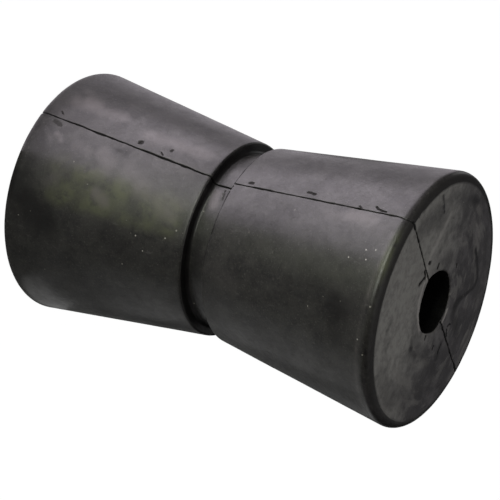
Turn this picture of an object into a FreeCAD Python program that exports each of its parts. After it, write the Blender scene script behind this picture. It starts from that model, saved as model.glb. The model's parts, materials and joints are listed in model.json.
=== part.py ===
"""Keel roller for a boat trailer: one solid moulding of black rubber.

Two blunt cones meet small end to small end at a square groove, and a plain bore for the
roller's spindle runs from end face to end face. The mould opened in two halves, and its
parting line is left as a fine nick, torn open where the flash came off, round the whole
outline.

Millimetres. The roller stands on one end face, +Z along the bore, with the origin at the
middle of the bore. The parting line lies in the plane X = 0.
"""

import FreeCAD, Part
import math
import os

from FreeCAD import Vector

# Overall form: diameters are where a cone's side, drawn on, meets the end face or groove
length = 150.0
end_diameter = 90.5
waist_diameter = 71.0
bore_diameter = 22.0

# Groove round the waist
groove_width = 8.6
groove_depth = 3.85

# Edges: the ends' rims are round, the groove's and the bore's are small bevels
end_round = 3.0
lip_bevel = 0.8
groove_floor_bevel = 1.0
bore_mouth_bevel = 0.6

# Parting line
parting_width = 0.5
parting_depth = 0.4

# Sizes that follow from the ones above
half_length = length / 2
end_radius = end_diameter / 2
waist_radius = waist_diameter / 2
floor_radius = waist_radius - groove_depth
half_groove = groove_width / 2
bore_radius = bore_diameter / 2


def outline_corners():
    """The outline's corners, still sharp, as (point, size, function that finishes it).

    They run clockwise as seen from +X: down the +Y side and back up the -Y side.
    """
    upper = [
        (Vector(0, end_radius, half_length), end_round, rounded_corner),
        (Vector(0, waist_radius, half_groove), lip_bevel, bevelled_corner),
        (Vector(0, floor_radius, half_groove), groove_floor_bevel, bevelled_corner),
    ]
    lower = [(Vector(0, point.y, -point.z), size, finish) for point, size, finish in reversed(upper)]
    right = upper + lower
    left = [(Vector(0, -point.y, point.z), size, finish) for point, size, finish in reversed(right)]
    return right + left


def rounded_corner(corner, arriving, leaving, radius):
    """An arc that touches both sides of a corner; the sides are given as directions."""
    turn = arriving.getAngle(leaving)
    reach = radius * math.tan(turn / 2)
    to_centre = (leaving - arriving).normalize()
    middle = corner + to_centre * (radius / math.cos(turn / 2) - radius)
    return Part.Arc(corner - arriving * reach, middle, corner + leaving * reach)


def bevelled_corner(corner, arriving, leaving, size):
    """A straight line that cuts the corner off, as far along both sides."""
    return Part.LineSegment(corner - arriving * size, corner + leaving * size)


def outline():
    """The whole outline in the plane X = 0 as a face, with no bore."""
    corners = outline_corners()
    count = len(corners)
    curves = []
    for i, (corner, size, finish) in enumerate(corners):
        before = corners[i - 1][0]
        after = corners[(i + 1) % count][0]
        arriving = (corner - before).normalize()
        leaving = (after - corner).normalize()
        curves.append(finish(corner, arriving, leaving, size))
    edges = []
    for i, curve in enumerate(curves):
        edges.append(Part.LineSegment(curves[i - 1].EndPoint, curve.StartPoint).toShape())
        edges.append(curve.toShape())
    return Part.Face(Part.Wire(edges))


def turned_body():
    """The moulding turned from the +Y half of its outline, still without its bore."""
    reach = end_radius + half_length
    beyond_axis = Part.makeBox(reach, reach, 2 * reach, Vector(-reach / 2, 0, -reach))
    section = outline().common(beyond_axis).Faces[0]
    return section.revolve(Vector(0, 0, 0), Vector(0, 0, 1), 360)


def bore():
    """The spindle's way through, with a bevel at each mouth."""
    way = Part.makeCylinder(bore_radius, length, Vector(0, 0, -half_length))
    mouth_radius = bore_radius + bore_mouth_bevel
    for end in (-1, 1):
        foot = Vector(0, 0, end * (half_length - bore_mouth_bevel))
        mouth = Part.makeCone(bore_radius, mouth_radius, bore_mouth_bevel, foot, Vector(0, 0, end))
        way = way.fuse(mouth)
    return way


def parting_nick():
    """A thin frame that follows the outline at an even depth.

    Cut from the moulding, it leaves the nick along both cones, down into the groove, round
    the ends' roundings and across both end faces.
    """
    proud = parting_depth
    frame = outline().makeOffset2D(proud).cut(outline().makeOffset2D(-parting_depth))
    nick = frame.extrude(Vector(parting_width, 0, 0))
    nick.translate(Vector(-parting_width / 2, 0, 0))
    return nick


keel_roller = turned_body().cut(bore()).cut(parting_nick())
solid = keel_roller.Solids[0]

os.makedirs("parts", exist_ok=True)
solid.exportStep("parts/keel_roller.step")
print("solids", len(keel_roller.Solids), "valid", solid.isValid())
print("volume", round(solid.Volume / 1000, 2), "cm3, faces", len(solid.Faces))
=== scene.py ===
# %% [markdown]
# A keel roller for a boat trailer, finished for a studio picture. The real thing is one
# lump of black rubber: two blunt cones, a groove round the waist and a hole for a spindle.
# The sizes come from the imported model, so the picture and the part can't drift apart.
# This first cell loads that model, and part_box reads its outer box.

# %% Load the frame
import json
import math

import bmesh
import bpy
from mathutils import Matrix, Quaternion, Vector, noise
from mathutils.geometry import intersect_point_line


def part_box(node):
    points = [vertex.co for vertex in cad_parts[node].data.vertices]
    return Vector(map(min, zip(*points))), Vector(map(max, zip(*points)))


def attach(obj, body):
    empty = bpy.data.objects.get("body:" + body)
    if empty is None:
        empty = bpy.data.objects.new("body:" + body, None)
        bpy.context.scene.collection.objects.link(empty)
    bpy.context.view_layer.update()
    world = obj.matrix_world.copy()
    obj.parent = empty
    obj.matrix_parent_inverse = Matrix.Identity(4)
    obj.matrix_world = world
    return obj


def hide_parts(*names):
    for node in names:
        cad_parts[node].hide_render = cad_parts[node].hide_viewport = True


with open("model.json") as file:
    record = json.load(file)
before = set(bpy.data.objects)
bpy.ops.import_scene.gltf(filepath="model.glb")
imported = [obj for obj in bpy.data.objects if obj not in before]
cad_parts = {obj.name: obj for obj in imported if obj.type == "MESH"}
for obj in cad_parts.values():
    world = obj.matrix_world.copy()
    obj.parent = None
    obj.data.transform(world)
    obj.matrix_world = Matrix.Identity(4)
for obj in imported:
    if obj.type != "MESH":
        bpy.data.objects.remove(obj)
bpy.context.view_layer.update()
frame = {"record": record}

# %% [markdown]
# Sizes come next, in metres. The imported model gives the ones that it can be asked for: the
# length, and the bore from its mount. The others repeat the driving sizes of the part.

# %% Sizes of the roller
mm = 0.001
lowest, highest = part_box("keel_roller")
half_length = highest.z
bore_mount = next(mount for mount in frame["record"]["mounts"] if mount["name"] == "bore")
bore_radius = bore_mount["dims"]["r_mm"] * mm
end_radius = 45.25 * mm
waist_radius = 35.5 * mm
floor_radius = 31.65 * mm
half_groove = 4.3 * mm
end_round = 3.0 * mm
lip_round = 0.9 * mm
floor_round = 1.2 * mm
mouth_bevel = 0.6 * mm
cone_slope = (end_radius - waist_radius) / (half_length - half_groove)
print("roller", round(2 * half_length, 4), "long, bore radius", round(bore_radius, 4))

# %% [markdown]
# The camera comes before the modelling, because it decides how large a detail looks. The
# photograph was taken from close by with a long lens, with the roller lying across the
# frame. The model stands on its end instead, so the camera rolls over until the roller
# lies the same way. An orbit is easy to read: the line of sight passes through a point
# near the middle, and two angles and a distance say where it starts.

# %% Camera at the photograph's angle
view_azimuth = math.radians(30.10)
view_elevation = math.radians(28.21)
view_roll = math.radians(107.58)
view_distance = 0.6693
view_target = Vector((1.35, 1.67, 1.43)) * mm

towards_camera = Vector((
    math.sin(view_azimuth) * math.cos(view_elevation),
    -math.cos(view_azimuth) * math.cos(view_elevation),
    math.sin(view_elevation),
))
camera_data = bpy.data.cameras.new("photo_camera")
camera_data.lens = 136.45
camera_data.sensor_width = 36.0
camera = bpy.data.objects.new("photo_camera", camera_data)
camera.location = view_target + towards_camera * view_distance
camera.rotation_mode = "QUATERNION"
level = (-towards_camera).to_track_quat("-Z", "Y")
camera.rotation_quaternion = level @ Quaternion((0, 0, 1), view_roll)
bpy.context.scene.collection.objects.link(camera)
bpy.context.scene.camera = camera
view_settings = bpy.context.scene.view_settings
view_settings.view_transform = "Standard"
print("camera at", [round(value, 3) for value in camera.location])

# %% [markdown]
# The stage is a pale floor and a pale room. Both are plain white where the camera looks at
# them, and give back only some light elsewhere, because black rubber mirrors its
# surroundings and the photograph's surroundings were dim. Light Path tells the two apart.
# The floor still takes a little of the roller's shadow.

# %% Floor and room
floor_share = 0.12


def camera_switch(tree):
    """A Light Path node's camera-ray output: 1 where the camera looks, 0 elsewhere."""
    return tree.nodes.new("ShaderNodeLightPath").outputs["Is Camera Ray"]


def pale_floor():
    """White for the camera, apart from a faint shadow, and pale grey for other rays."""
    material = bpy.data.materials.new("pale_floor")
    material.use_nodes = True
    tree = material.node_tree
    tree.nodes.clear()
    paint = tree.nodes.new("ShaderNodeBsdfDiffuse")
    paint.inputs["Color"].default_value = (0.50, 0.50, 0.50, 1)
    white = tree.nodes.new("ShaderNodeEmission")
    white.inputs["Strength"].default_value = 1.13
    share = tree.nodes.new("ShaderNodeMath")
    share.operation = "MULTIPLY"
    share.inputs[1].default_value = 1 - floor_share
    mix = tree.nodes.new("ShaderNodeMixShader")
    output = tree.nodes.new("ShaderNodeOutputMaterial")
    tree.links.new(camera_switch(tree), share.inputs[0])
    tree.links.new(share.outputs[0], mix.inputs["Fac"])
    tree.links.new(paint.outputs[0], mix.inputs[1])
    tree.links.new(white.outputs[0], mix.inputs[2])
    tree.links.new(mix.outputs[0], output.inputs["Surface"])
    return material


bm = bmesh.new()
bmesh.ops.create_grid(bm, x_segments=1, y_segments=1, size=4.0)
bmesh.ops.translate(bm, verts=bm.verts[:], vec=(0, 0, -half_length))
floor_mesh = bpy.data.meshes.new("studio_floor")
bm.to_mesh(floor_mesh)
bm.free()
floor_mesh.materials.append(pale_floor())
studio_floor = bpy.data.objects.new("studio_floor", floor_mesh)
bpy.context.scene.collection.objects.link(studio_floor)

# %% Room light
room_strength = 0.0
world = bpy.data.worlds.new("pale_room")
bpy.context.scene.world = world
world.use_nodes = True
room = world.node_tree
background = room.nodes["Background"]
background.inputs["Color"].default_value = (1, 1, 1, 1)
brightness = room.nodes.new("ShaderNodeMapRange")
brightness.inputs["To Min"].default_value = room_strength
brightness.inputs["To Max"].default_value = 1.0
room.links.new(camera_switch(room), brightness.inputs["Value"])
room.links.new(brightness.outputs["Result"], background.inputs["Strength"])
print("floor and room ready")

# %% [markdown]
# Soft boxes light the roller. Black rubber shows mostly the reflection of its lamps, so the
# lamps stand where the photograph's sheen asks for them. The camera looks down on a roller
# that stands on its end, so its sides mirror the floor: plates that lie there face up, out
# of the camera's sight, make the broad sheen of the upper side. One edge of the plates runs
# out from the roller's foot, and its reflection is the sheen's lower edge. Low boxes beside
# the camera end it in a greenish band, and weak boxes behind and above give the end face
# its grey. Azimuth is a compass angle, where 0 is the -Y side and 90 is the +X side, and a
# brightness is turned into the power that a lamp of that size needs.

# %% Lamps
def new_lamp(name, width, height, brightness, colour):
    """A rectangular lamp that the camera can't see, still at the origin and facing down."""
    lamp_data = bpy.data.lights.new(name, "AREA")
    lamp_data.shape = "RECTANGLE"
    lamp_data.size = width
    lamp_data.size_y = height
    lamp_data.energy = brightness * math.pi * width * height
    lamp_data.color = colour
    lamp = bpy.data.objects.new(name, lamp_data)
    lamp.rotation_mode = "QUATERNION"
    lamp.visible_camera = False
    bpy.context.scene.collection.objects.link(lamp)
    return lamp


def soft_box(name, azimuth, elevation, distance, width, brightness, colour=(1, 1, 1)):
    """A square lamp that faces the roller."""
    turn, rise = math.radians(azimuth), math.radians(elevation)
    way = Vector((math.sin(turn) * math.cos(rise), -math.cos(turn) * math.cos(rise), math.sin(rise)))
    lamp = new_lamp(name, width, width, brightness, colour)
    lamp.location = way * distance
    lamp.rotation_quaternion = way.to_track_quat("Z", "Y")


def floor_plate(name, azimuth, near, far, left, right, brightness, colour=(1, 1, 1)):
    """A lamp on the floor, face up, between two distances from the axis and two offsets."""
    facing = Quaternion((0, 0, 1), math.radians(azimuth))
    lamp = new_lamp(name, right - left, far - near, brightness, colour)
    lamp.location = facing @ Vector(((left + right) / 2, -(near + far) / 2, mm - half_length))
    lamp.rotation_quaternion = facing @ Quaternion((1, 0, 0), math.pi)


violet = (1.04, 0.95, 1.05)
olive = (0.98, 1.0, 0.88)
grass = (0.88, 1.0, 0.66)
floor_plate("foot_left", 8, -0.10, 0.06, -0.20, -0.056, 0.41, violet)
floor_plate("foot_back", 8, -0.10, -0.056, -0.056, 0.01, 0.30, violet)
floor_plate("foot_edge", 8, -0.056, 0.056, -0.056, 0.01, 0.42, violet)
floor_plate("foot", 8, 0.056, 0.08, -0.056, 0.01, 1.50, violet)
floor_plate("near_left", 8, 0.06, 0.23, -0.20, -0.056, 2.02, violet)
floor_plate("near", 8, 0.08, 0.23, -0.056, 0.01, 1.90, violet)
floor_plate("middle", 8, 0.23, 0.37, -0.20, 0.01, 1.80)
floor_plate("far", 8, 0.37, 0.65, -0.20, 0.01, 0.60)
floor_plate("left", 8, -0.25, 0.06, -0.60, -0.20, 0.36, violet)
floor_plate("far_left", 8, 0.06, 0.37, -0.60, -0.20, 1.50, violet)
floor_plate("right", 8, 0.13, 0.37, 0.01, 0.10, 0.46, grass)
floor_plate("far_right", 8, 0.37, 0.65, 0.01, 0.35, 0.30, grass)
floor_plate("corner", 116, 0.047, 0.068, -0.02, 0.02, 0.24)
floor_plate("beside", 120, 0.12, 0.28, -0.08, 0.08, 0.25)
floor_plate("behind", 150, 0.28, 0.56, -0.14, 0.14, 0.21)
for azimuth, brightness in ((0, 1.85), (11, 1.85), (22.5, 1.85), (34, 0.75)):
    soft_box(f"low_box_{azimuth:g}", azimuth, 8, 0.8, 0.30, brightness, olive)
    soft_box(f"slim_box_{azimuth:g}", azimuth, -2, 0.8, 0.14, brightness, olive)
for azimuth, brightness in ((-45, 0.30), (-22.5, 0.30), (112.5, 0.10), (135, 0.10)):
    soft_box(f"fill_{azimuth:g}", azimuth, 8, 0.8, 0.30, brightness, violet)
soft_box("front_top", 0, 65, 0.8, 0.45, 0.60)
soft_box("top", 0, 90, 0.8, 0.50, 1.10)
soft_box("back_top", 180, 65, 0.8, 0.45, 0.40)
soft_box("back_left", -150, 35, 0.8, 0.40, 0.20)
soft_box("back_right", 150, 35, 0.8, 0.40, 0.12)
soft_box("rear", -120, 5, 0.8, 0.45, 0.45)

# %% [markdown]
# The roller's body is turned. A lathe shape starts from half of its section, and that
# needs only ten corners here, which a vertex bevel then rounds as the mould did. The
# bevel's reach along each side follows from the radius and the turn of the corner. On a
# corner that isn't square the bevel makes a slightly full curve, so the end rims' points
# are then set on their true arc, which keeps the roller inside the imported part's box.

# %% Section of the roller
def rounded_reach(radius, turn):
    """How far along its sides a corner's rounding reaches."""
    return radius * math.tan(turn / 2)


cone_turn = math.atan(cone_slope)
right_angle = math.pi / 2
mouth_length = 6.0 * mm
section = [
    (bore_radius, mouth_length - half_length, 0, 0),
    (bore_radius, -half_length, mouth_bevel, 2),
    (end_radius, -half_length, rounded_reach(end_round, right_angle + cone_turn), 10),
    (waist_radius, -half_groove, rounded_reach(lip_round, right_angle - cone_turn), 5),
    (floor_radius, -half_groove, rounded_reach(floor_round, right_angle), 5),
]
section += [(radius, -height, reach, steps) for radius, height, reach, steps in reversed(section)]

roller = bmesh.new()
corners = [roller.verts.new((radius, 0, height)) for radius, height, reach, steps in section]
roller.faces.new(corners)
for corner, (radius, height, reach, steps) in zip(corners, section, strict=True):
    if reach > 0:
        bmesh.ops.bevel(
            roller, geom=[corner], affect="VERTICES", offset=reach, offset_type="OFFSET",
            segments=steps, profile=0.5, material=-1,
        )
bmesh.ops.delete(roller, geom=roller.faces[:], context="FACES_ONLY")

rim_height = half_length - end_round
rim_radius = end_radius - cone_slope * end_round - end_round / math.cos(cone_turn)
for vert in roller.verts:
    beyond_cone = abs(vert.co.z) > rim_height - end_round * math.sin(cone_turn)
    if beyond_cone and vert.co.x > rim_radius:
        centre = Vector((rim_radius, 0, math.copysign(rim_height, vert.co.z)))
        vert.co = centre + (vert.co - centre).normalized() * end_round
print("section corners rounded:", len(roller.verts), "points")

# %% [markdown]
# Long straight sides are cut into short ones, because the marks that come later move
# points. Then the section is spun. A single spin would need thousands of steps to give
# the parting line its width, so the turn is made of short spins: fine steps across the
# parting line on both sides of the roller, and coarse ones between. A few planes also cut
# the lip above the groove, where the mould left a seam.

# %% Spin the body
row_step = 0.9 * mm
mouth_step = 0.6 * mm
bore_step = 7.0 * mm


def step_along(edge):
    """How long the pieces of an edge of the section may be."""
    if any(vert.co.x > bore_radius + mm for vert in edge.verts):
        return row_step
    if any(abs(vert.co.z) > half_length - mouth_length + mm for vert in edge.verts):
        return mouth_step
    return bore_step


for step in range(9):
    height = (4.35 + 0.15 * step) * mm
    lip = [vert for vert in roller.verts if vert.co.z > 0 and vert.co.x > floor_radius + mm]
    lip += [edge for edge in roller.edges if all(vert in lip for vert in edge.verts)]
    bmesh.ops.bisect_plane(roller, geom=lip, plane_co=(0, 0, height), plane_no=(0, 0, 1))
for edge in roller.edges[:]:
    pieces = int(edge.calc_length() / step_along(edge))
    if pieces > 1:
        bmesh.ops.subdivide_edges(roller, edges=[edge], cuts=pieces - 1)

fine_half = math.radians(1.2)
near_half = math.radians(8.0)
rows = len(roller.verts)
start = Matrix.Rotation(-right_angle - near_half, 3, "Z")
bmesh.ops.rotate(roller, cent=(0, 0, 0), matrix=start, verts=roller.verts[:])
half_turn = [
    (near_half - fine_half, 15),
    (2 * fine_half, 16),
    (near_half - fine_half, 15),
    (math.pi - 2 * near_half, 66),
]
ring = roller.verts[:] + roller.edges[:]
for angle, steps in half_turn + half_turn:
    spun = bmesh.ops.spin(
        roller, geom=ring, cent=(0, 0, 0), axis=(0, 0, 1), dvec=(0, 0, 0),
        angle=angle, steps=steps, use_merge=False, use_duplicate=False,
    )
    ring = spun["geom_last"]
bmesh.ops.remove_doubles(roller, verts=roller.verts[:], dist=0.002 * mm)
bmesh.ops.recalc_face_normals(roller, faces=roller.faces[:])
closed = all(edge.is_manifold for edge in roller.edges)
print(rows, "rows,", len(roller.faces), "faces, closed:", closed)

# %% [markdown]
# The photograph shows scars where flash was pulled off and where the mould was chipped.
# Each is a short path with a half width and a depth, all in millimetres. On the cones and in
# the groove a path holds (x, z) points on the -Y side. On the end faces it holds (x, y)
# points of the upper face, and the lower face gets them mirrored, which is a guess.

# %% Scars
side_scars = [
    ("oblong_smudge", [(1.7, -67.0), (2.0, -65.6), (2.4, -64.2)], 1.05, 0.10),
    ("far_tick", [(-2.9, -67.0), (-2.1, -66.0)], 0.38, 0.20),
    ("round_chip", [(-2.5, -34.4), (-2.9, -34.0)], 1.00, 0.30),
    ("small_chip", [(-3.9, -22.5), (-4.3, -22.4)], 0.75, 0.16),
    ("thin_tick", [(-1.9, -25.3), (-1.0, -24.3)], 0.34, 0.20),
    ("near_dot", [(-1.6, 10.6), (-1.6, 11.7)], 0.78, 0.22),
    ("near_dash", [(-2.5, 33.8), (-2.5, 35.0), (-2.2, 36.6)], 0.65, 0.25),
    ("tick_by_line", [(-1.1, 54.7), (-0.3, 55.9)], 0.42, 0.20),
    ("curved_dash", [(-2.2, 60.6), (-1.4, 61.7), (-1.0, 63.4), (-0.9, 64.8)], 0.48, 0.35),
    ("lip_tear", [(2.6, 4.3), (1.2, 4.9), (0.2, 4.7)], 0.50, 0.60),
    ("floor_line", [(1.2, 0.9), (5.2, 1.9)], 0.22, 0.15),
]
face_scars = [
    ("flash_curl", [(5.3, -17.0), (3.9, -16.4), (2.4, -16.4), (1.5, -15.6), (0.9, -16.9), (0.7, -18.4)],
     0.75, 0.50),
    ("torn_pit", [(-2.6, -18.9), (-3.2, -18.0)], 0.85, 0.45),
    ("mouth_chip", [(-7.2, -12.0), (-6.2, -11.4)], 0.80, 0.45),
    ("flat_chip", [(-16.5, -0.5), (-16.1, 0.5)], 0.55, 0.35),
    ("far_tick", [(-4.7, 19.2), (-4.0, 18.3), (-2.8, 17.9)], 0.42, 0.35),
    ("far_tear", [(-1.9, 18.4), (-1.5, 19.6), (-0.9, 21.2)], 0.50, 0.35),
    ("far_stroke", [(3.4, 20.6), (6.2, 21.5)], 0.55, 0.30),
    ("far_dent", [(7.4, 16.1), (8.2, 16.5)], 0.70, 0.25),
    ("mouth_pit", [(9.4, 6.6), (10.6, 7.4)], 0.70, 0.35),
]

# %% [markdown]
# Handling has left soft patches: paler where the face is rubbed, darker where it isn't, and shinier or
# duller clouds on the cones. Many strokes are painted light instead: sheen that brightens the cones, and
# shade that darkens the cones, the face's lower side and the groove's walls. They are kept as broad
# strokes too, and a float attribute carries them to the materials. Noise frays their edges.

# %% Stains and painted shading
# Some dark strokes here, such as bottom_shade and ridge_shadow, are painted shade.
face_stains_and_shading = [
    ("dark_blotch", [(-23, -28), (-30, -19), (-37, -12)], 3.0, -0.25),
    ("dark_patch", [(-34.5, -14.8), (-36.1, -10.2)], 1.6, -0.5),
    ("vein_cloud", [(-27, 0), (-28, 7), (-25, 14), (-21, 17), (-16, 15), (-11, 15)], 3.0, -0.3),
    ("vein", [(-28.7, 7.0), (-27.7, 14.5), (-25.9, 19.8), (-22.4, 20.6), (-17.7, 18.1), (-12.4, 15.2),
              (-9.4, 14.8)], 0.9, -0.9),
    ("by_the_bore", [(-10.1, 15.1), (-7.1, 17.1), (-7.2, 23.3)], 2.5, -0.6),
    ("pale_right", [(-30.8, -6.2), (-31.5, 1.5)], 3.0, 0.35),
    ("ridge", [(-20.7, -23.3), (-16.0, -22.6), (-10.3, -21.4), (-5.0, -21.0), (-2.2, -19.6)], 1.2, 0.7),
    ("upper_dull", [(-4, -36), (-14, -30)], 5.0, -0.5),
    ("lower_shade", [(37, -8), (37, 6)], 5.5, -0.4),
    ("ridge_shadow", [(-19.2, -17.5), (-14.4, -17.5), (-11.2, -16.5), (-8.0, -16.5)], 1.6, -0.35),
    ("thin_dark", [(-18.9, -34.9), (-18.4, -31.4), (-17.2, -28.1)], 0.6, -0.6),
    ("rub_1", [(24.5, -21.2), (27.8, -20.0)], 1.3, -0.5),
    ("rub_2", [(27.6, -15.2), (30.9, -14.0)], 1.2, -0.5),
    ("pale_streak", [(25.1, -8.9), (29.2, -5.9), (31.9, -2.6)], 1.3, 0.4),
    ("below_1", [(17.0, -1.8), (18.3, 1.6)], 1.3, -0.5),
    ("below_2", [(19.7, 1.4), (18.2, 7.1)], 1.5, -0.5),
    ("below_3", [(6.4, 13.8), (7.8, 15.5)], 1.2, -0.5),
    ("below_4", [(3.3, 19.9), (6.3, 21.8), (7.4, 22.7)], 1.5, -0.6),
    ("under_patch", [(15, 8), (11.6, 21.7)], 3.2, -0.3),
    ("bottom_shade", [(33, 16), (20, 25), (5.8, 29), (-5.8, 29)], 6.0, -0.3),
    ("worn_mouth", [(2.7, -14.2), (7.6, -11.2), (10.6, -6.4), (11.6, 0)], 0.9, 1.0),
    ("mouth_strip", [(-4.8, 10.6), (-2.1, 11.7), (-0.3, 12.3)], 0.7, 0.9),
    ("flap", [(0.9, -14.3), (1.0, -12.0)], 0.55, 1.0),
    ("flap_root", [(-0.9, -18.3), (-0.8, -17.4)], 0.60, 0.9),
]
# Painted light too: far_sheen and near_glow are painted sheen; foot_shade, near_shade, low_edge and
# groove_shade are painted shade.
side_stains_and_shading = [
    ("pink_cloud", [(10, -44), (14, -40)], 3.0, 0.6),
    ("pale_cloud", [(11, -55), (11, -51)], 2.8, 0.4),
    ("streak_1", [(7, -68.3), (12, -64.6)], 1.1, 0.6),
    ("streak_2", [(8, -63.7), (10, -60.7)], 1.0, 0.7),
    ("pink_band", [(13, -33), (17, -26.6)], 3.0, 0.4),
    ("top_cloud", [(-21, -65), (-16, -58.6)], 2.6, 0.4),
    ("line_smudge", [(5, -40.5), (5, -36.4)], 1.3, -0.8),
    ("olive_patch_1", [(29, -41), (32, -36.5)], 2.4, 0.9),
    ("olive_patch_2", [(33, -61), (28, -57)], 2.8, 0.4),
    ("olive_patch_3", [(29, -16.3), (30, -11.5)], 2.6, 0.5),
    ("end_shade", [(4, -69), (18, -67), (30, -69)], 2.6, -0.5),
    ("foot_shade", [(36, -71), (43, -65), (50, -58)], 6.5, -1.0),
    ("long_shade", [(-30, -60), (-33, -20)], 3.5, -0.4),
    ("dark_spill", [(47, -34), (54, -22)], 4.5, -0.5),
    ("near_shine", [(6, 46), (3, 62)], 2.6, 0.5),
    ("near_smudge", [(9, 30), (10, 34)], 1.8, -0.5),
    ("lip_shade", [(18, 9), (18, 34)], 2.6, -0.6),
    ("rim_shine", [(4, 55), (9, 67)], 4.0, 0.4),
    ("near_dull", [(26, 22), (32, 58)], 8.0, -0.3),
    ("top_streak", [(-13, -65), (-14, -46)], 3.0, 0.6),
    ("upper_streak", [(-10, -33), (-13, -10)], 3.0, 0.7),
    ("lip_bloom", [(22, -25), (24, -10)], 3.2, 0.5),
    ("far_sheen", [(-4, -62), (4, -14)], 11.0, 0.24),
    ("near_top_dull", [(-22, 14), (-16, 62)], 8.0, -0.16),
    ("near_shade", [(46, 60), (58, 62)], 4.5, -0.6),
    ("near_dusk", [(42, 44), (44, 66)], 5.0, -0.4),
    ("near_glow", [(50, 8), (54, 18)], 5.0, 0.3),
    ("low_edge", [(106, -42), (106, -9)], 5.0, -0.8),
    ("groove_bloom", [(7, -1.5), (14, -0.5)], 2.2, 1.0),
    ("groove_shade", [(38, -1), (90, -1)], 2.2, -0.7),
    ("near_bloom", [(33, 30), (39, 22)], 3.0, 0.3),
]
thin_stains = [stain_and_shading for stain_and_shading in face_stains_and_shading if stain_and_shading[2] < 1]


# %% Cut the mesh finer round the marks
def smooth_step(value, low, high):
    """0 below low, 1 above high, and a smooth rise between."""
    share = min(max((value - low) / (high - low), 0), 1)
    return share * share * (3 - 2 * share)


def path_distance(spot, path):
    """The distance in millimetres from a flat spot to a path of straight runs."""
    nearest = []
    for first, second in zip(path, path[1:]):
        first, second = Vector(first), Vector(second)
        foot, share = intersect_point_line(spot, first, second)
        foot = first.lerp(second, min(max(share, 0), 1))
        nearest.append((spot - foot).length)
    return min(nearest)


def scars_near(point):
    """The scars that can reach a point, with the point laid flat in their plane."""
    if abs(point.z) > half_length - 0.05 * mm and point.xy.length > bore_radius:
        return face_scars, Vector((point.x, math.copysign(point.y, point.y * point.z))) / mm
    if point.y < 0 and abs(point.x) < 8 * mm and point.xy.length > bore_radius + mm:
        return side_scars, Vector((point.x, point.z)) / mm
    return [], None


def in_mark(point, margin):
    """Whether a point lies in a fine mark or within a margin in millimetres round it."""
    marks, spot = scars_near(point)
    if marks is face_scars and point.z > 0:
        marks = face_scars + thin_stains
    return any(path_distance(spot, path) < half_width + margin for name, path, half_width, depth in marks)


for margin in (1.0, 0.45):
    marked = {vert for vert in roller.verts if in_mark(vert.co, margin)}
    edges = [edge for edge in roller.edges if all(vert in marked for vert in edge.verts)]
    bmesh.ops.subdivide_edges(roller, edges=edges, cuts=1, use_grid_fill=True)
roller.normal_update()
print("faces after the cuts round the scars:", len(roller.faces))

# %% How stained or shaded a point is
def stain_and_shading_at(point):
    """The stain at a point, with its painted sheen and shade, from -1 for dark to 1 for pale."""
    radius = point.xy.length
    if abs(point.z) > half_length - 0.3 * mm:
        stains_and_shading = face_stains_and_shading
        spot = Vector((point.x, math.copysign(point.y, point.y * point.z))) / mm
        stretch = 1
    else:
        stains_and_shading = side_stains_and_shading
        stretch = math.degrees(mm / radius)
        spot = Vector((math.degrees(math.atan2(point.x, -point.y)) / stretch, point.z / mm))
    fray = 1 + 0.4 * noise.noise(point / (3.5 * mm)) + 0.2 * noise.noise(point / (1.5 * mm))
    total = 0
    # Painted shade: the groove's walls are darkened fully.
    if radius < waist_radius - 0.4 * mm and half_groove - mm < abs(point.z) < half_groove + mm:
        return -1
    for name, path, half_width, shade in stains_and_shading:
        laid = [(across / stretch, along) for across, along in path]
        away = path_distance(spot, laid)
        total += shade * (1 - smooth_step(away, 0.2 * half_width, 1.6 * half_width * fray))
    return min(max(total, -1), 1)


def green_reflection_at(point):
    """Painted reflection of greenish light: a patchy olive band on the lower cone, and the edges beside
    it.
    """
    azimuth = math.degrees(math.atan2(point.x, -point.y))
    height = point.z / mm
    patchy = 0.72 + 0.8 * noise.noise(point / (6.0 * mm))
    on_lower_cone = smooth_step(-height, 5, 12) * (1 - smooth_step(-height, 50, 66))
    on_lower_cone *= smooth_step(azimuth, 12, 25) * (1 - smooth_step(azimuth, 36, 43))
    on_upper_rim = 0.9 * smooth_step(height, 70.6, 72) * smooth_step(azimuth, 2, 14)
    on_upper_rim *= 1 - smooth_step(azimuth, 20, 34)
    return min(max(patchy * (on_lower_cone + on_upper_rim), 0), 1)


def rim_highlight_at(point):
    """A painted highlight: a pale, broken line where the cone turns into the rounding."""
    azimuth = math.degrees(math.atan2(point.x, -point.y))
    line_height = 71.3 - 1.3 * smooth_step(azimuth, 12, 55)
    here = smooth_step(azimuth, 0, 12) * (1 - smooth_step(azimuth, 80, 115))
    broken = 0.95 + 0.9 * noise.noise(point / (2.6 * mm))
    return max(0, 0.65 * here * broken * (1 - abs(point.z / mm - line_height) / 1.5))


def rim_dark_band_at(point):
    """How much painted shade, with dullness, a point gets because it lies on a rim's rounding, close
    beside the end face.
    """
    inner = 1 - smooth_step(half_length - abs(point.z), 0.4 * mm, 1.5 * mm)
    azimuth = math.degrees(math.atan2(point.x, -point.y))
    return inner * (1 - 0.6 * smooth_step(azimuth, 70, 100)) * (rim_radius < point.xy.length)


# %% [markdown]
# The parting line is where the mould's halves met. The flash was torn off it, which left
# a ragged nick: it wanders, and its width and depth change every few millimetres. Noise
# sampled in the plane of the parting line gives each side of the roller its own raggedness
# with no seam at the corners. The line is finer on the upper cone and coarser on the end
# faces, where it also leans away from the middle.

# %% Shape of the parting line
def ragged(point, size, seed):
    """Noise from -1 to 1 that changes over about `size` along the parting plane."""
    return noise.noise(Vector((point.y / size, point.z / size, seed)))


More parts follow.
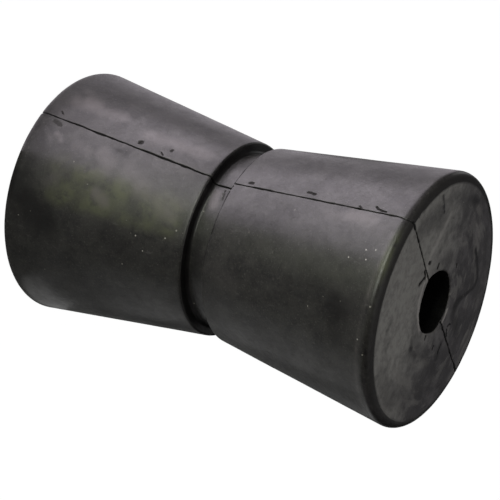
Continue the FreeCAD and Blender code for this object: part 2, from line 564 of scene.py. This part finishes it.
def nick_at(point):
    """How far into the nick a point is: 0 outside, 1 at its bottom."""
    on_face = smooth_step(abs(point.z), half_length - 0.6 * mm, half_length - 0.1 * mm)
    on_upper_cone = smooth_step(point.z, 2 * mm, 6 * mm) * (1 - on_face)
    lean = -0.018 * (point.xy.length - 12 * mm) * on_face
    bend = 0.45 * mm * math.exp(-((point.z - 72.6 * mm) / (1.1 * mm)) ** 2)
    steps = 0.10 * ragged(point, 6.0 * mm, 1.5) + 0.15 * ragged(point, 2.2 * mm, 7.1)
    steps += 0.17 * ragged(point, 0.9 * mm, 4.2)
    centre = lean + bend + steps * mm * (1 - 0.5 * on_upper_cone)
    reach = point.xy.length / mm
    at_ends = smooth_step(reach, 37, 41) + 1 - smooth_step(reach, 12, 17)
    width = (0.40 + on_face * (0.08 + 0.22 * at_ends) - 0.08 * on_upper_cone) * mm
    torn_wide = smooth_step(ragged(point, 3.4 * mm, 3.3), -0.05, 0.25)
    width *= 0.74 + 0.45 * torn_wide + 0.5 * ragged(point, 1.2 * mm, 8.2)
    share = max(0.0, 1 - abs(point.x - centre) / width)
    return share * (1 - 0.25 * on_upper_cone * (1 + ragged(point, 9.0 * mm, 6.6)))


def seam_at(point):
    """The same for the mould's seam, which shows along the upper lip of the groove."""
    azimuth = math.degrees(math.atan2(point.x, -point.y))
    fade = smooth_step(azimuth, -30, -14) * (1 - smooth_step(azimuth, 27, 38))
    height = (4.75 + 0.15 * noise.noise(point / (4 * mm))) * mm
    if point.xy.length < waist_radius - mm or fade == 0:
        return 0.0
    return fade * max(0.0, 1 - abs(point.z - height) / (0.45 * mm))


# %% [markdown]
# The bore's mouths were torn too, mostly where the parting line meets them: the rim is
# chipped outwards there. All of this is kept as one distance per point that only ever
# takes rubber away, so the roller can't outgrow the part.

# %% Tear and wear the rubber
nick_depth = 0.80 * mm
mouth_fade = 5.0 * mm


def mouth_tear(point):
    """How far the bore's rim is torn outwards at a point of its mouth."""
    azimuth = math.degrees(math.atan2(point.x, -point.y))
    at_line = 1.45 * math.exp(-(azimuth / 21) ** 2)
    opposite = 0.75 * math.exp(-((abs(azimuth) - 162) / 20) ** 2)
    crumbs = 0.22 * noise.noise(point / (1.6 * mm)) + 0.16 * noise.noise(point / (4.5 * mm))
    depth = half_length - abs(point.z)
    reach = max(0.0, 1 - (depth + point.xy.length - bore_radius) / mouth_fade)
    return max(0.0, at_line + opposite + crumbs + 0.1) * mm * reach ** 1.7


def wear(point, normal):
    """How much rubber is gone at a point: low waves, and a rougher skin on the end faces."""
    waves = 0.035 * noise.noise(point / (16 * mm)) + 0.018 * noise.noise(point / (5.5 * mm))
    rough = 0.050 * noise.noise(point / (3.2 * mm)) + 0.020 * noise.noise(point / (1.1 * mm))
    return (0.045 + waves + abs(normal.z) ** 4 * (0.055 + rough)) * mm


normals = [vert.normal.copy() for vert in roller.verts]
nick_layer = roller.verts.layers.float.new("nick")
scar_and_rim_shade_layer = roller.verts.layers.float.new("scar_and_rim_shade")
stain_and_shading_layer = roller.verts.layers.float.new("stain_and_shading")
# The olive layer holds a painted reflection of greenish light.
green_reflection_layer = roller.verts.layers.float.new("olive")
for vert, normal in zip(roller.verts, normals, strict=True):
    place = vert.co.copy()
    if place.xy.length < bore_radius + mouth_fade and abs(place.z) > half_length - mouth_fade:
        outwards = Vector((place.x, place.y, 0)).normalized()
        place += outwards * mouth_tear(place)
    gone = wear(place, normal) if place.xy.length > bore_radius + 0.05 * mm else 0
    if vert.co.xy.length > bore_radius + 0.1 * mm:
        vert[nick_layer] = max(nick_at(place), seam_at(place))
        gone += nick_depth * vert[nick_layer] * (1 + 0.4 * ragged(place, 3.0 * mm, 9.0))
    # Stains with painted sheen and shade, and the rim's painted highlight, go into one layer.
    vert[stain_and_shading_layer] = max(-1, min(1, stain_and_shading_at(vert.co) + rim_highlight_at(vert.co)))
    # The scar layer also takes the rims' painted dark band.
    vert[scar_and_rim_shade_layer] = 0.9 * rim_dark_band_at(vert.co)
    vert[green_reflection_layer] = green_reflection_at(vert.co)
    scars, spot = scars_near(vert.co)
    for name, path, half_width, depth in scars:
        frayed = half_width * (1 + 0.35 * noise.noise(place / (0.9 * mm)))
        inside = 1 - path_distance(spot, path) / frayed
        if inside > 0:
            vert[scar_and_rim_shade_layer] = max(vert[scar_and_rim_shade_layer], min(1, 2.2 * inside) * min(1, depth / 0.22))
            gone += depth * mm * smooth_step(inside, 0, 0.8)
    vert.co = place - normal * gone
print("points in the nick:", sum(vert[nick_layer] > 0 for vert in roller.verts))
print("points in scars:", sum(vert[scar_and_rim_shade_layer] > 0 for vert in roller.verts))

# %% Make the roller an object
side_slot, face_slot, bore_slot = range(3)
for face in roller.faces:
    middle = face.calc_center_median()
    face.smooth = True
    face.material_index = side_slot
    if abs(middle.z) > half_length - 0.9 * mm and middle.xy.length < rim_radius:
        face.material_index = face_slot
    elif middle.xy.length < bore_radius + mouth_fade / 2:
        face.material_index = bore_slot
roller_mesh = bpy.data.meshes.new("moulded_roller")
roller.to_mesh(roller_mesh)
roller.free()
moulded_roller = bpy.data.objects.new("moulded_roller", roller_mesh)
bpy.context.scene.collection.objects.link(moulded_roller)
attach(moulded_roller, "root")
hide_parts("keel_roller")
roller_mesh.calc_loop_triangles()
print("triangles:", len(roller_mesh.loop_triangles))

# %% [markdown]
# The finish is built from nodes. Two small helpers keep that readable: one adds a node and
# fills in its inputs, with numbers or with links, and one starts a node group with named
# inputs and outputs. A group is an effect that several materials share.

# %% Node helpers
def add(tree, kind, values=None, **settings):
    """A new shader node with its settings, and its inputs given by name or number."""
    made = tree.nodes.new("ShaderNode" + kind)
    for name, value in settings.items():
        setattr(made, name, value)
    for name, value in (values or {}).items():
        if isinstance(value, bpy.types.NodeSocket):
            tree.links.new(value, made.inputs[name])
        else:
            made.inputs[name].default_value = value
    return made


def start_group(name, inputs, outputs):
    """An empty node group, with its input and output nodes, from {name: socket type}."""
    group = bpy.data.node_groups.new(name, "ShaderNodeTree")
    for socket, kind in inputs.items():
        group.interface.new_socket(socket, in_out="INPUT", socket_type="NodeSocket" + kind)
    for socket, kind in outputs.items():
        group.interface.new_socket(socket, in_out="OUTPUT", socket_type="NodeSocket" + kind)
    return group, group.nodes.new("NodeGroupInput"), group.nodes.new("NodeGroupOutput")


def place_group(tree, group, values):
    """A node that places a group in a tree; its tree is set before its inputs."""
    placed = tree.nodes.new("ShaderNodeGroup")
    placed.node_tree = group
    for name, value in values.items():
        if isinstance(value, bpy.types.NodeSocket):
            tree.links.new(value, placed.inputs[name])
        else:
            placed.inputs[name].default_value = value
    return placed


def between(tree, value, low, high):
    """A smooth 0 to 1 as a value goes from low to high."""
    values = {"Value": value, "From Min": low, "From Max": high}
    return add(tree, "MapRange", values, interpolation_type="SMOOTHSTEP").outputs["Result"]


def math_node(tree, operation, first, second=0.0, third=0.0):
    """The result of a Math node."""
    return add(tree, "Math", {0: first, 1: second, 2: third}, operation=operation).outputs[0]


def weaker(tree, mask, share):
    """A mask at only a share of its strength."""
    return math_node(tree, "MULTIPLY", mask, share)


def colour_mix(tree, factor, first, second):
    """The result of a colour Mix node."""
    return add(tree, "Mix", {0: factor, 6: first, 7: second}, data_type="RGBA").outputs[2]


# %% [markdown]
# Moulded rubber isn't evenly black. The mould leaves cloudy patches that are duller or
# shinier, with a finer mottle inside them. The first group makes both from noise, and the
# second a fine grain for the bump, a fraction of a millimetre across.

# %% Group: cloudy mottle
mottle, given, result = start_group(
    "rubber_mottle", {"Vector": "Vector", "Patch": "Float", "Seed": "Float"},
    {"Clouds": "Float", "Mottle": "Float"},
)
patch_scale = math_node(mottle, "DIVIDE", 1.0, given.outputs["Patch"])
mottle_scale = math_node(mottle, "MULTIPLY", patch_scale, 4.5)
cloud_kinds = (
    ("Clouds", patch_scale, 0.38, 0.64, 0.6),
    ("Mottle", mottle_scale, 0.36, 0.68, 0.3),
)
for socket, scale, low, high, swirl in cloud_kinds:
    cloud = add(
        mottle, "TexNoise",
        {"Vector": given.outputs["Vector"], "W": given.outputs["Seed"], "Scale": scale, "Detail": 4.0,
         "Roughness": 0.58, "Distortion": swirl},
        noise_dimensions="4D",
    )
    mottle.links.new(between(mottle, cloud.outputs["Fac"], low, high), result.inputs[socket])

# %% Group: fine grain
grain, given, result = start_group(
    "rubber_grain", {"Vector": "Vector", "Size": "Float"}, {"Height": "Float"},
)
grain_scale = math_node(grain, "DIVIDE", 1.0, given.outputs["Size"])
skin = add(
    grain, "TexNoise",
    {"Vector": given.outputs["Vector"], "Scale": grain_scale, "Detail": 3.0, "Roughness": 0.6},
)
cell_scale = math_node(grain, "MULTIPLY", grain_scale, 0.45)
cells = add(grain, "TexVoronoi", {"Vector": given.outputs["Vector"], "Scale": cell_scale})
pits = between(grain, cells.outputs["Distance"], 0.05, 0.35)
height = math_node(grain, "MULTIPLY_ADD", pits, 0.5, skin.outputs["Fac"])
grain.links.new(height, result.inputs["Height"])

# %% [markdown]
# Scuffs are short grey strokes, drawn out along one direction, and dust is a scatter of
# pale specks. Both groups take a vector that the material has already stretched its own
# way: along the roller on the cones, and round the bore on the end faces.

# %% Group: scuffs
scuffs, given, result = start_group(
    "scuff_strokes", {"Vector": "Vector", "Size": "Float", "Cover": "Float"}, {"Mask": "Float"},
)
stroke_scale = math_node(scuffs, "DIVIDE", 1.0, given.outputs["Size"])
strokes = add(
    scuffs, "TexNoise",
    {"Vector": given.outputs["Vector"], "Scale": stroke_scale, "Detail": 5.0, "Roughness": 0.62,
     "Distortion": 0.25},
)
edge_low = math_node(scuffs, "SUBTRACT", 0.78, given.outputs["Cover"])
edge_high = math_node(scuffs, "ADD", edge_low, 0.14)
scuffs.links.new(between(scuffs, strokes.outputs["Fac"], edge_low, edge_high), result.inputs["Mask"])

# %% Group: dust specks
specks, given, result = start_group(
    "dust_specks", {"Vector": "Vector", "Spacing": "Float", "Share": "Float"}, {"Mask": "Float"},
)
speck_scale = math_node(specks, "DIVIDE", 1.0, given.outputs["Spacing"])
dots = add(specks, "TexVoronoi", {"Vector": given.outputs["Vector"], "Scale": speck_scale})
chance = add(specks, "SeparateColor", {"Color": dots.outputs["Color"]})
chosen = math_node(specks, "GREATER_THAN", given.outputs["Share"], chance.outputs["Red"])
size = math_node(specks, "MULTIPLY_ADD", chance.outputs["Green"], 0.10, 0.05)
dot = math_node(specks, "GREATER_THAN", size, dots.outputs["Distance"])
strength = math_node(specks, "POWER", chance.outputs["Blue"], 3.0)
shown = math_node(specks, "MULTIPLY", math_node(specks, "MULTIPLY", dot, chosen), strength)
specks.links.new(shown, result.inputs["Mask"])
print("node groups:", [group.name for group in bpy.data.node_groups])

# %% [markdown]
# The cones' rubber is nearly black with a soft sheen. Its clouds are a violet grey, and a patchy olive
# grey on the lower cone and the upper rim is a painted reflection of greenish light. The sheen has two
# parts: a broad one from the rubber, and a tighter one from the bloom that the mould polished, a coat
# that is thicker in some clouds and scuffed off in others. In the nick and the scars the rubber is torn
# and dull, and the attributes painted while they were cut say where that is. The nick's near black is
# also painted shade, and so are the rims' dark bands and the darker strokes, while the paler strokes add
# painted sheen.

# %% Rubber of the cones and the groove
def start_material(name):
    """A new material: its tree, shader, Object coordinates, and the masks of the nick, of the scars with
    the rims' painted dark band, and of the stains with painted sheen and shade.
    """
    material = bpy.data.materials.new(name)
    material.use_nodes = True
    tree = material.node_tree
    where = add(tree, "TexCoord").outputs["Object"]
    nick = add(tree, "Attribute", attribute_name="nick").outputs["Fac"]
    scar_and_rim_shade = add(tree, "Attribute", attribute_name="scar_and_rim_shade").outputs["Fac"]
    stain_and_shading = add(tree, "Attribute", attribute_name="stain_and_shading").outputs["Fac"]
    roller_mesh.materials.append(material)
    return tree, tree.nodes["Principled BSDF"], where, nick, scar_and_rim_shade, stain_and_shading


tree, shader, where, nick, scar_and_rim_shade, stain_and_shading = start_material("black_rubber_side")
cloud = place_group(tree, mottle, {"Vector": where, "Patch": 0.018, "Seed": 3.0})
blotch = place_group(tree, mottle, {"Vector": where, "Patch": 0.0055, "Seed": 8.0})
along = add(tree, "Mapping", {"Vector": where, "Scale": (1.0, 1.0, 0.30)}).outputs["Vector"]
scuff = place_group(tree, scuffs, {"Vector": along, "Size": 0.0014, "Cover": 0.17})
dust = place_group(tree, specks, {"Vector": where, "Spacing": 0.0026, "Share": 0.10})
dark_stain_and_shade = math_node(tree, "MULTIPLY", stain_and_shading, -1.0)

deepest_black = (0.015, 0.014, 0.015, 1)
plain_black = (0.025, 0.023, 0.024, 1)
blotch_grey = (0.046, 0.044, 0.041, 1)
mottle_grey = (0.052, 0.050, 0.047, 1)
speckle_grey = (0.080, 0.077, 0.072, 1)
# Painted reflection: an olive grey that stands for greenish light on the lower cone and the upper rim.
painted_green_reflection_grey = (0.086, 0.092, 0.054, 1)
scuff_grey = (0.110, 0.103, 0.104, 1)
# Pale stains, and painted sheen where a stroke brightens the cone.
pale_stain_and_sheen_grey = (0.118, 0.104, 0.104, 1)
# Dark stains, and painted shade where a stroke or the groove's walls darken.
stain_and_shade_black = (0.008, 0.007, 0.008, 1)
dust_grey = (0.42, 0.40, 0.36, 1)
crumb_grey = (0.48, 0.46, 0.43, 1)
# Torn rubber, and the painted dark band on the rims' roundings.
torn_and_rim_shade_black = (0.014, 0.012, 0.012, 1)
# Painted shade in the nick's crease; the bore's wall uses it as painted shade too.
nick_and_bore_shade_black = (0.003, 0.003, 0.003, 1)

speckle = add(tree, "TexNoise", {"Vector": where, "Scale": 1500.0, "Detail": 2.0, "Roughness": 0.6})
speckles = between(tree, speckle.outputs["Fac"], 0.55, 0.80)
black = colour_mix(tree, cloud.outputs["Clouds"], deepest_black, plain_black)
blotched = colour_mix(tree, weaker(tree, blotch.outputs["Clouds"], 0.5), black, blotch_grey)
mottled = colour_mix(tree, weaker(tree, blotch.outputs["Mottle"], 0.5), blotched, mottle_grey)
speckled = colour_mix(tree, speckles, mottled, speckle_grey)
# The olive attribute says where the painted green reflection goes.
green_reflection_mask = add(tree, "Attribute", attribute_name="olive").outputs["Fac"]
patches = add(tree, "TexNoise", {"Vector": where, "Scale": 260.0, "Detail": 4.0, "Roughness": 0.6})
green_reflection_patches = math_node(tree, "MULTIPLY", green_reflection_mask, between(tree, patches.outputs["Fac"], 0.26, 0.60))
with_green_reflection = colour_mix(tree, green_reflection_patches, speckled, painted_green_reflection_grey)
scuffed = colour_mix(tree, weaker(tree, scuff.outputs["Mask"], 0.45), with_green_reflection, scuff_grey)
stained_and_shaded = colour_mix(tree, between(tree, stain_and_shading, 0.0, 1.4), scuffed, pale_stain_and_sheen_grey)
stained_and_shaded = colour_mix(tree, between(tree, dark_stain_and_shade, 0.0, 1.4), stained_and_shaded, stain_and_shade_black)
dusty = colour_mix(tree, dust.outputs["Mask"], stained_and_shaded, dust_grey)

# A few pale crumbs stick to the cones, at these azimuths in degrees and heights in millimetres
crumbs = [
    (51.0, -19.0), (44.0, -22.4), (41.0, -11.5), (18.0, 64.6),
    (17.0, 68.0), (23.0, 59.5), (22.0, 65.9), (55.0, 70.0),
]
crumb_size = 0.25 * mm
for turn, height in crumbs:
    turn = math.radians(turn)
    away = waist_radius + cone_slope * (abs(height) * mm - half_groove)
    crumb = (away * math.sin(turn), -away * math.cos(turn), height * mm)
    gap = add(tree, "VectorMath", {0: where, 1: crumb}, operation="DISTANCE").outputs["Value"]
    dusty = colour_mix(tree, math_node(tree, "LESS_THAN", gap, crumb_size), dusty, crumb_grey)
torn_and_rim_shaded = colour_mix(tree, scar_and_rim_shade, dusty, torn_and_rim_shade_black)
# Torn rubber in the nick, painted near black as shade in its crease.
nick_shaded = colour_mix(tree, between(tree, nick, 0.0, 0.35), torn_and_rim_shaded, nick_and_bore_shade_black)
tree.links.new(nick_shaded, shader.inputs["Base Color"])

dull = math_node(tree, "MULTIPLY_ADD", cloud.outputs["Mottle"], 0.08, 0.33)
dull = math_node(tree, "MULTIPLY_ADD", scuff.outputs["Mask"], 0.10, dull)
damage = math_node(tree, "MAXIMUM", nick, scar_and_rim_shade)
dull = math_node(tree, "MULTIPLY_ADD", damage, 0.45, dull)
tree.links.new(dull, shader.inputs["Roughness"])

polish = math_node(tree, "MULTIPLY_ADD", cloud.outputs["Clouds"], 0.20, 0.38)
polish = math_node(tree, "MULTIPLY_ADD", cloud.outputs["Mottle"], 0.12, polish)
polish = math_node(tree, "MULTIPLY_ADD", blotch.outputs["Clouds"], 0.15, polish)
polish = math_node(tree, "MULTIPLY_ADD", blotch.outputs["Mottle"], -0.35, polish)
polish = math_node(tree, "MULTIPLY_ADD", scuff.outputs["Mask"], -0.25, polish)
polish = math_node(tree, "MULTIPLY_ADD", stain_and_shading, 0.35, polish)
intact = math_node(tree, "SUBTRACT", 1.0, between(tree, damage, 0.0, 0.35))
polish = add(tree, "Math", {0: polish, 1: intact}, operation="MULTIPLY", use_clamp=True).outputs[0]
tree.links.new(polish, shader.inputs["Coat Weight"])
shader.inputs["Coat Roughness"].default_value = 0.27
shader.inputs["Coat IOR"].default_value = 1.5

skin = place_group(tree, grain, {"Vector": where, "Size": 0.00045})
relief = math_node(tree, "MULTIPLY_ADD", scuff.outputs["Mask"], -0.5, skin.outputs["Height"])
bump = add(tree, "Bump", {"Height": relief, "Strength": 0.35, "Distance": 0.00005})
tree.links.new(bump.outputs["Normal"], shader.inputs["Normal"])

# %% [markdown]
# The end faces are greyer and rougher: they were trimmed and have rubbed against the
# bracket. Their strokes run round the bore, so the vector for the scuffs is made of the
# direction from the axis, drawn out, and the distance from it.

# %% Rubber of the end faces
tree, shader, where, nick, scar_and_rim_shade, stain_and_shading = start_material("black_rubber_face")
parts = add(tree, "SeparateXYZ", {"Vector": where})
flat = add(tree, "CombineXYZ", {"X": parts.outputs["X"], "Y": parts.outputs["Y"]}).outputs["Vector"]
from_axis = add(tree, "VectorMath", {0: flat}, operation="LENGTH").outputs["Value"]
heading = add(tree, "VectorMath", {0: flat}, operation="NORMALIZE").outputs["Vector"]
drawn_out = add(tree, "VectorMath", {0: heading, "Scale": 0.009}, operation="SCALE").outputs["Vector"]
radial = add(tree, "CombineXYZ", {"X": 0.0, "Y": 0.0, "Z": from_axis}).outputs["Vector"]
round_bore = add(tree, "VectorMath", {0: drawn_out, 1: radial}, operation="ADD").outputs["Vector"]

cloud = place_group(tree, mottle, {"Vector": where, "Patch": 0.011, "Seed": 5.0})
sweep = place_group(tree, scuffs, {"Vector": round_bore, "Size": 0.0034, "Cover": 0.27})
fine_sweep = place_group(tree, scuffs, {"Vector": round_bore, "Size": 0.0012, "Cover": 0.20})
dust = place_group(tree, specks, {"Vector": where, "Spacing": 0.0026, "Share": 0.06})
# The face is paler towards one side, and its fine dark strokes thin out there.
across = weaker(tree, parts.outputs["X"], 0.54)
towards_pale_side = math_node(tree, "MULTIPLY_ADD", parts.outputs["Y"], -0.84, across)
pale_side_edge = math_node(tree, "MULTIPLY_ADD", cloud.outputs["Clouds"], 0.012, towards_pale_side)
pale_side = between(tree, pale_side_edge, -0.012, 0.030)
less_on_pale_side = math_node(tree, "MULTIPLY_ADD", pale_side, -0.4, 0.5)
fine_share = math_node(tree, "MULTIPLY", fine_sweep.outputs["Mask"], less_on_pale_side)

dark_stain_and_shade = math_node(tree, "MULTIPLY", stain_and_shading, -1.0)
face_dark = (0.044, 0.040, 0.043, 1)
face_grey = (0.098, 0.090, 0.095, 1)
pale_side_grey = (0.340, 0.328, 0.306, 1)
face_mottle = (0.052, 0.046, 0.050, 1)
sweep_grey = (0.240, 0.228, 0.215, 1)
fine_sweep_black = (0.022, 0.019, 0.021, 1)
pale_rub = (0.420, 0.395, 0.375, 1)
# Dark veins, and painted shade where a stroke darkens the face.
face_stain_and_shade_black = (0.010, 0.008, 0.010, 1)
face_torn_black = (0.010, 0.009, 0.009, 1)

face_black = colour_mix(tree, cloud.outputs["Clouds"], face_dark, face_grey)
pale_sided = colour_mix(tree, weaker(tree, pale_side, 0.9), face_black, pale_side_grey)
mottled = colour_mix(tree, weaker(tree, cloud.outputs["Mottle"], 0.42), pale_sided, face_mottle)
swept = colour_mix(tree, weaker(tree, sweep.outputs["Mask"], 0.5), mottled, sweep_grey)
swept = colour_mix(tree, fine_share, swept, fine_sweep_black)
stained_and_shaded = colour_mix(tree, between(tree, stain_and_shading, 0.0, 1.3), swept, pale_rub)
stained_and_shaded = colour_mix(tree, between(tree, dark_stain_and_shade, 0.0, 1.0), stained_and_shaded, face_stain_and_shade_black)
dusty = colour_mix(tree, dust.outputs["Mask"], stained_and_shaded, dust_grey)
torn_and_rim_shaded = colour_mix(tree, scar_and_rim_shade, dusty, face_torn_black)
# Torn rubber in the nick, painted near black as shade in its crease.
nick_shaded = colour_mix(tree, between(tree, nick, 0.0, 0.35), torn_and_rim_shaded, nick_and_bore_shade_black)
tree.links.new(nick_shaded, shader.inputs["Base Color"])

dull = math_node(tree, "MULTIPLY_ADD", cloud.outputs["Mottle"], 0.12, 0.42)
dull = math_node(tree, "MULTIPLY_ADD", sweep.outputs["Mask"], 0.08, dull)
damage = math_node(tree, "MAXIMUM", nick, scar_and_rim_shade)
tree.links.new(math_node(tree, "MULTIPLY_ADD", damage, 0.40, dull), shader.inputs["Roughness"])

skin = place_group(tree, grain, {"Vector": where, "Size": 0.0006})
relief = math_node(tree, "MULTIPLY_ADD", sweep.outputs["Mask"], 1.2, skin.outputs["Height"])
relief = math_node(tree, "MULTIPLY_ADD", fine_sweep.outputs["Mask"], -0.8, relief)
bump = add(tree, "Bump", {"Height": relief, "Strength": 0.45, "Distance": 0.00012})
tree.links.new(bump.outputs["Normal"], shader.inputs["Normal"])

# %% [markdown]
# The bore's wall is painted darker than the rest of the rubber, as shade in the hole. The core pin that
# formed it left faint streaks along it.

# %% Rubber of the bore
tree, shader, where, nick, scar_and_rim_shade, stain_and_shading = start_material("black_rubber_bore")
along = add(tree, "Mapping", {"Vector": where, "Scale": (1.0, 1.0, 0.08)}).outputs["Vector"]
drawn = place_group(tree, scuffs, {"Vector": along, "Size": 0.0012, "Cover": 0.25})
cloud = place_group(tree, mottle, {"Vector": where, "Patch": 0.012, "Seed": 1.0})
# Painted shade of the bore.
bore_shade_black = (0.006, 0.006, 0.006, 1)
streak_grey = (0.012, 0.012, 0.012, 1)
shaded_wall = colour_mix(tree, cloud.outputs["Clouds"], nick_and_bore_shade_black, bore_shade_black)
streaked = colour_mix(tree, weaker(tree, drawn.outputs["Mask"], 0.5), shaded_wall, streak_grey)
tree.links.new(streaked, shader.inputs["Base Color"])
dull = math_node(tree, "MULTIPLY_ADD", cloud.outputs["Mottle"], 0.15, 0.65)
tree.links.new(dull, shader.inputs["Roughness"])
shader.inputs["Specular IOR Level"].default_value = 0.2
bump = add(tree, "Bump", {"Height": drawn.outputs["Mask"], "Strength": 0.4, "Distance": 0.0001})
tree.links.new(bump.outputs["Normal"], shader.inputs["Normal"])
print("materials:", [material.name for material in roller_mesh.materials])
